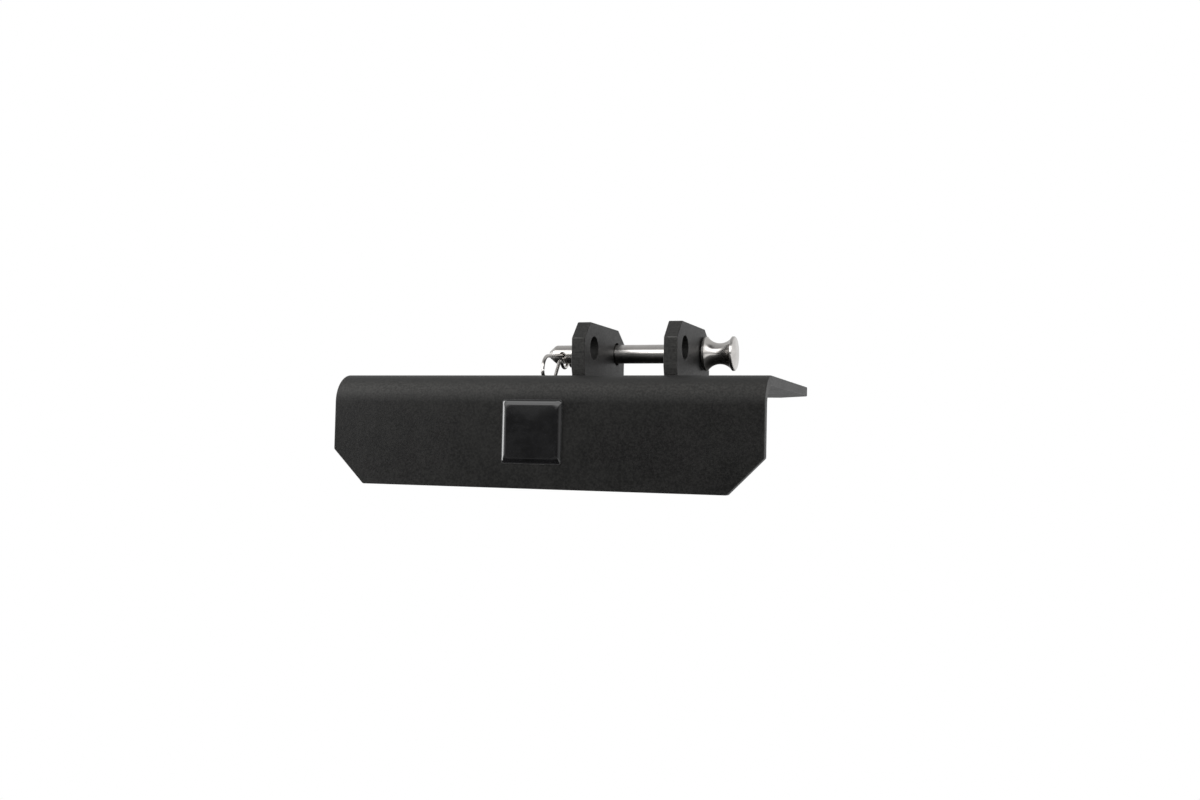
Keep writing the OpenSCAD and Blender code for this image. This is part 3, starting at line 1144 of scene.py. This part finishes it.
@dataclass
class Studio:
    """Pale floor under a sky painted in four soft strips. Sizes in metres.

    A strip is a row of (height, level) stops. The height is the ray's own Z, from -1 to 1.
    """

    floor_z: float = -0.42
    floor_size: float = 12.0
    ahead: Strip = (
        (-0.1, 0.1), (0.03, 0.11), (0.09, 0.45), (0.2, 1.9),
        (0.4, 1.5), (0.6, 2.3), (0.8, 0.3), (1.0, 0.4),
    )
    left: Strip = ((0.1, 1.1), (0.5, 0.8), (0.8, 0.3), (1.0, 0.4))
    right: Strip = ((0.1, 0.5), (0.45, 2.2), (0.6, 1.6), (0.7, 0.1), (0.9, 0.06), (1.0, 0.3))
    behind: Strip = ((0.1, 0.8), (0.5, 0.5), (0.8, 0.5), (1.0, 0.4))
    floor_ahead: float = 0.05
    floor_behind: float = 0.51
    floor_right: float = 0.95
    floor_far: float = 0.22
    paint: Triple = (0.8, 0.8, 0.8)
    lamp_place: Triple = (-1.1, -0.5, 0.1)
    lamp_size: Point2 = (0.6, 1.1)
    lamp_watts: float = 11.0

    def build(self) -> None:
        """Builds the room."""
        self.floor()
        self.world()
        self.soft_box()
        LOG.info("studio built")

    def floor(self) -> None:
        """Builds the floor: white to the camera, dimmer in reflections, plain paint to the rest."""
        half, low = self.floor_size / 2, self.floor_z
        mesh = bpy.data.meshes.new("floor")
        corners = ((-half, -half), (half, -half), (half, half), (-half, half))
        mesh.from_pydata([(x, y, low) for x, y in corners], [], [(0, 1, 2, 3)])
        floor = new_object("floor", mesh)
        material, graph, place = new_material("floor")
        path = graph.add("ShaderNodeLightPath").outputs
        camera, glossy = path["Is Camera Ray"], path["Is Glossy Ray"]
        side, deep, _ = graph.split(place)
        far = graph.ramp(deep, -3.0, -1.0, (self.floor_far, 0.0))
        mirrored = graph.ramp(deep, -0.3, 0.15, (self.floor_ahead, self.floor_behind))
        mirrored = graph.math("MAXIMUM", mirrored, far)
        mirrored = graph.blend(graph.ramp(side, 0.12, 0.4), mirrored, self.floor_right)
        mirrored = graph.math("MULTIPLY", glossy, mirrored)
        glow = graph.add("ShaderNodeEmission", {"Strength": graph.blend(camera, mirrored, 1.0)})
        tint = graph.mix(graph.math("MAXIMUM", camera, glossy), self.paint, (0.0, 0.0, 0.0))
        paint = graph.add("ShaderNodeBsdfDiffuse", {"Color": tint})
        both = graph.add("ShaderNodeAddShader", {0: paint.outputs[0], 1: glow.outputs[0]})
        graph.add("ShaderNodeOutputMaterial", {"Surface": both.outputs[0]})
        mesh.materials.append(material)

    @staticmethod
    def strip(graph: Graph, up: Socket, stops: Strip) -> Socket:
        """Adds one strip of sky and returns its level at the ray's height."""
        node = graph.add("ShaderNodeValToRGB", {0: graph.math("MULTIPLY_ADD", up, 0.5, 0.5)})
        marks = node.color_ramp.elements
        while len(marks) < len(stops):
            marks.new(1.0)
        for mark, (height, level) in zip(marks, stops):
            mark.position = height * 0.5 + 0.5
            mark.color = (level, level, level, 1.0)
        return node.outputs[0]

    def world(self) -> None:
        """Lights the room from the strips, and shows plain white to the camera."""
        world = bpy.data.worlds.new("studio")
        bpy.context.scene.world = world
        world.use_nodes = True
        graph = Graph(world.node_tree)
        ray = graph.add("ShaderNodeTexCoord").outputs["Generated"]
        side, deep, up = graph.split(ray)
        level = self.strip(graph, up, self.ahead)
        for mask, stops in (
            (graph.ramp(side, -0.75, -0.45, (1.0, 0.0)), self.left),
            (graph.ramp(side, 0.0, 0.45), self.right),
            (graph.ramp(deep, -0.2, 0.25), self.behind),
        ):
            level = graph.blend(mask, level, self.strip(graph, up, stops))
        camera = graph.add("ShaderNodeLightPath").outputs["Is Camera Ray"]
        glow = {"Color": (1.0, 1.0, 1.0, 1.0), "Strength": graph.blend(camera, level, 1.0)}
        light = graph.add("ShaderNodeBackground", glow).outputs[0]
        graph.add("ShaderNodeOutputWorld", {"Surface": light})

    def soft_box(self) -> None:
        """Hangs an area lamp on the left that faces the origin."""
        lamp = bpy.data.lights.new("left_box", "AREA")
        lamp.shape, lamp.energy = "RECTANGLE", self.lamp_watts
        lamp.size, lamp.size_y = self.lamp_size
        box = new_object("left_box", lamp)
        box.location = self.lamp_place
        box.rotation_mode = "QUATERNION"
        box.rotation_quaternion = (-Vector(self.lamp_place)).to_track_quat("-Z", "Y")


@dataclass
class PhotoCamera:
    """The camera, as solved from the photograph. Angles in degrees, place in millimetres."""

    place: Triple = (298.316, -918.815, -82.766)
    yaw: float = 19.4824
    pitch: float = 2.4171
    roll: float = 1.2627
    focal_px: float = 1211.81
    image_px: float = 1200.0
    sensor: float = 36.0
    clip: Point2 = (0.01, 50.0)

    def build(self) -> None:
        """Builds the camera and makes it the scene's own."""
        yaw, pitch, roll = (radians(a) for a in (self.yaw, self.pitch, self.roll))
        level = Vector((cos(yaw), sin(yaw), 0.0))
        ahead = Vector((-sin(yaw), cos(yaw), 0.0))
        forward = ahead * cos(pitch) + Vector((0.0, 0.0, sin(pitch)))
        upright = level.cross(forward)
        right = level * cos(roll) + upright * sin(roll)
        up = upright * cos(roll) - level * sin(roll)
        data = bpy.data.cameras.new("photo_camera")
        data.sensor_width = self.sensor
        data.lens = self.sensor * self.focal_px / self.image_px
        data.clip_start, data.clip_end = self.clip
        camera = new_object("photo_camera", data)
        turn = Matrix((right, up, -forward)).transposed().to_4x4()
        camera.matrix_world = Matrix.Translation(Vector(self.place) * MM) @ turn
        bpy.context.scene.camera = camera
        LOG.info("camera placed")


def main() -> None:
    """Builds the step's sub-assemblies in order, then the room and the camera."""
    logging.basicConfig(level=logging.INFO, format="%(name)s: %(message)s")
    bpy.context.scene.view_settings.view_transform = "Standard"
    coat = PowderCoat().material()
    bead_coat = PowderCoat(name="powder_coat_on_weld", roughness=(0.34, 0.46), rub_and_sheen=0.2).material()
    cut_coat = PowderCoat(
        name="powder_coat_on_cut",
        body=(0.012, 0.012, 0.0115),
        pale=(0.034, 0.0335, 0.032),
        # Rims of the cut faces: partly rub wear, partly a painted highlight.
        rub_and_sheen_tone=(0.14, 0.138, 0.132),
        rub_and_sheen=0.8,
        cut_lines=0.6,
    ).material()
    turned = Stainless("stainless_turned", roughness=(0.16, 0.26), drawn_out=0.9).material()
    drawn = Stainless("stainless_wire", roughness=(0.05, 0.12), pitch=900.0).material()
    StepPlate(coat).build()
    bead_tree = sweep_tree("ripple_bead", Section.CORNER, 12, bead_coat)
    for side in Side:
        Ear(coat, cut_coat, side).build()
        WeldBead(bead_tree, side).build()
    Badge(Resin().material(), LabelFilm().material()).build()
    HitchPin(turned).build()
    PinClip(sweep_tree("bent_wire", Section.ROUND, 24, drawn)).build()
    Studio().build()
    PhotoCamera().build()


if __name__ == "__main__":
    main()
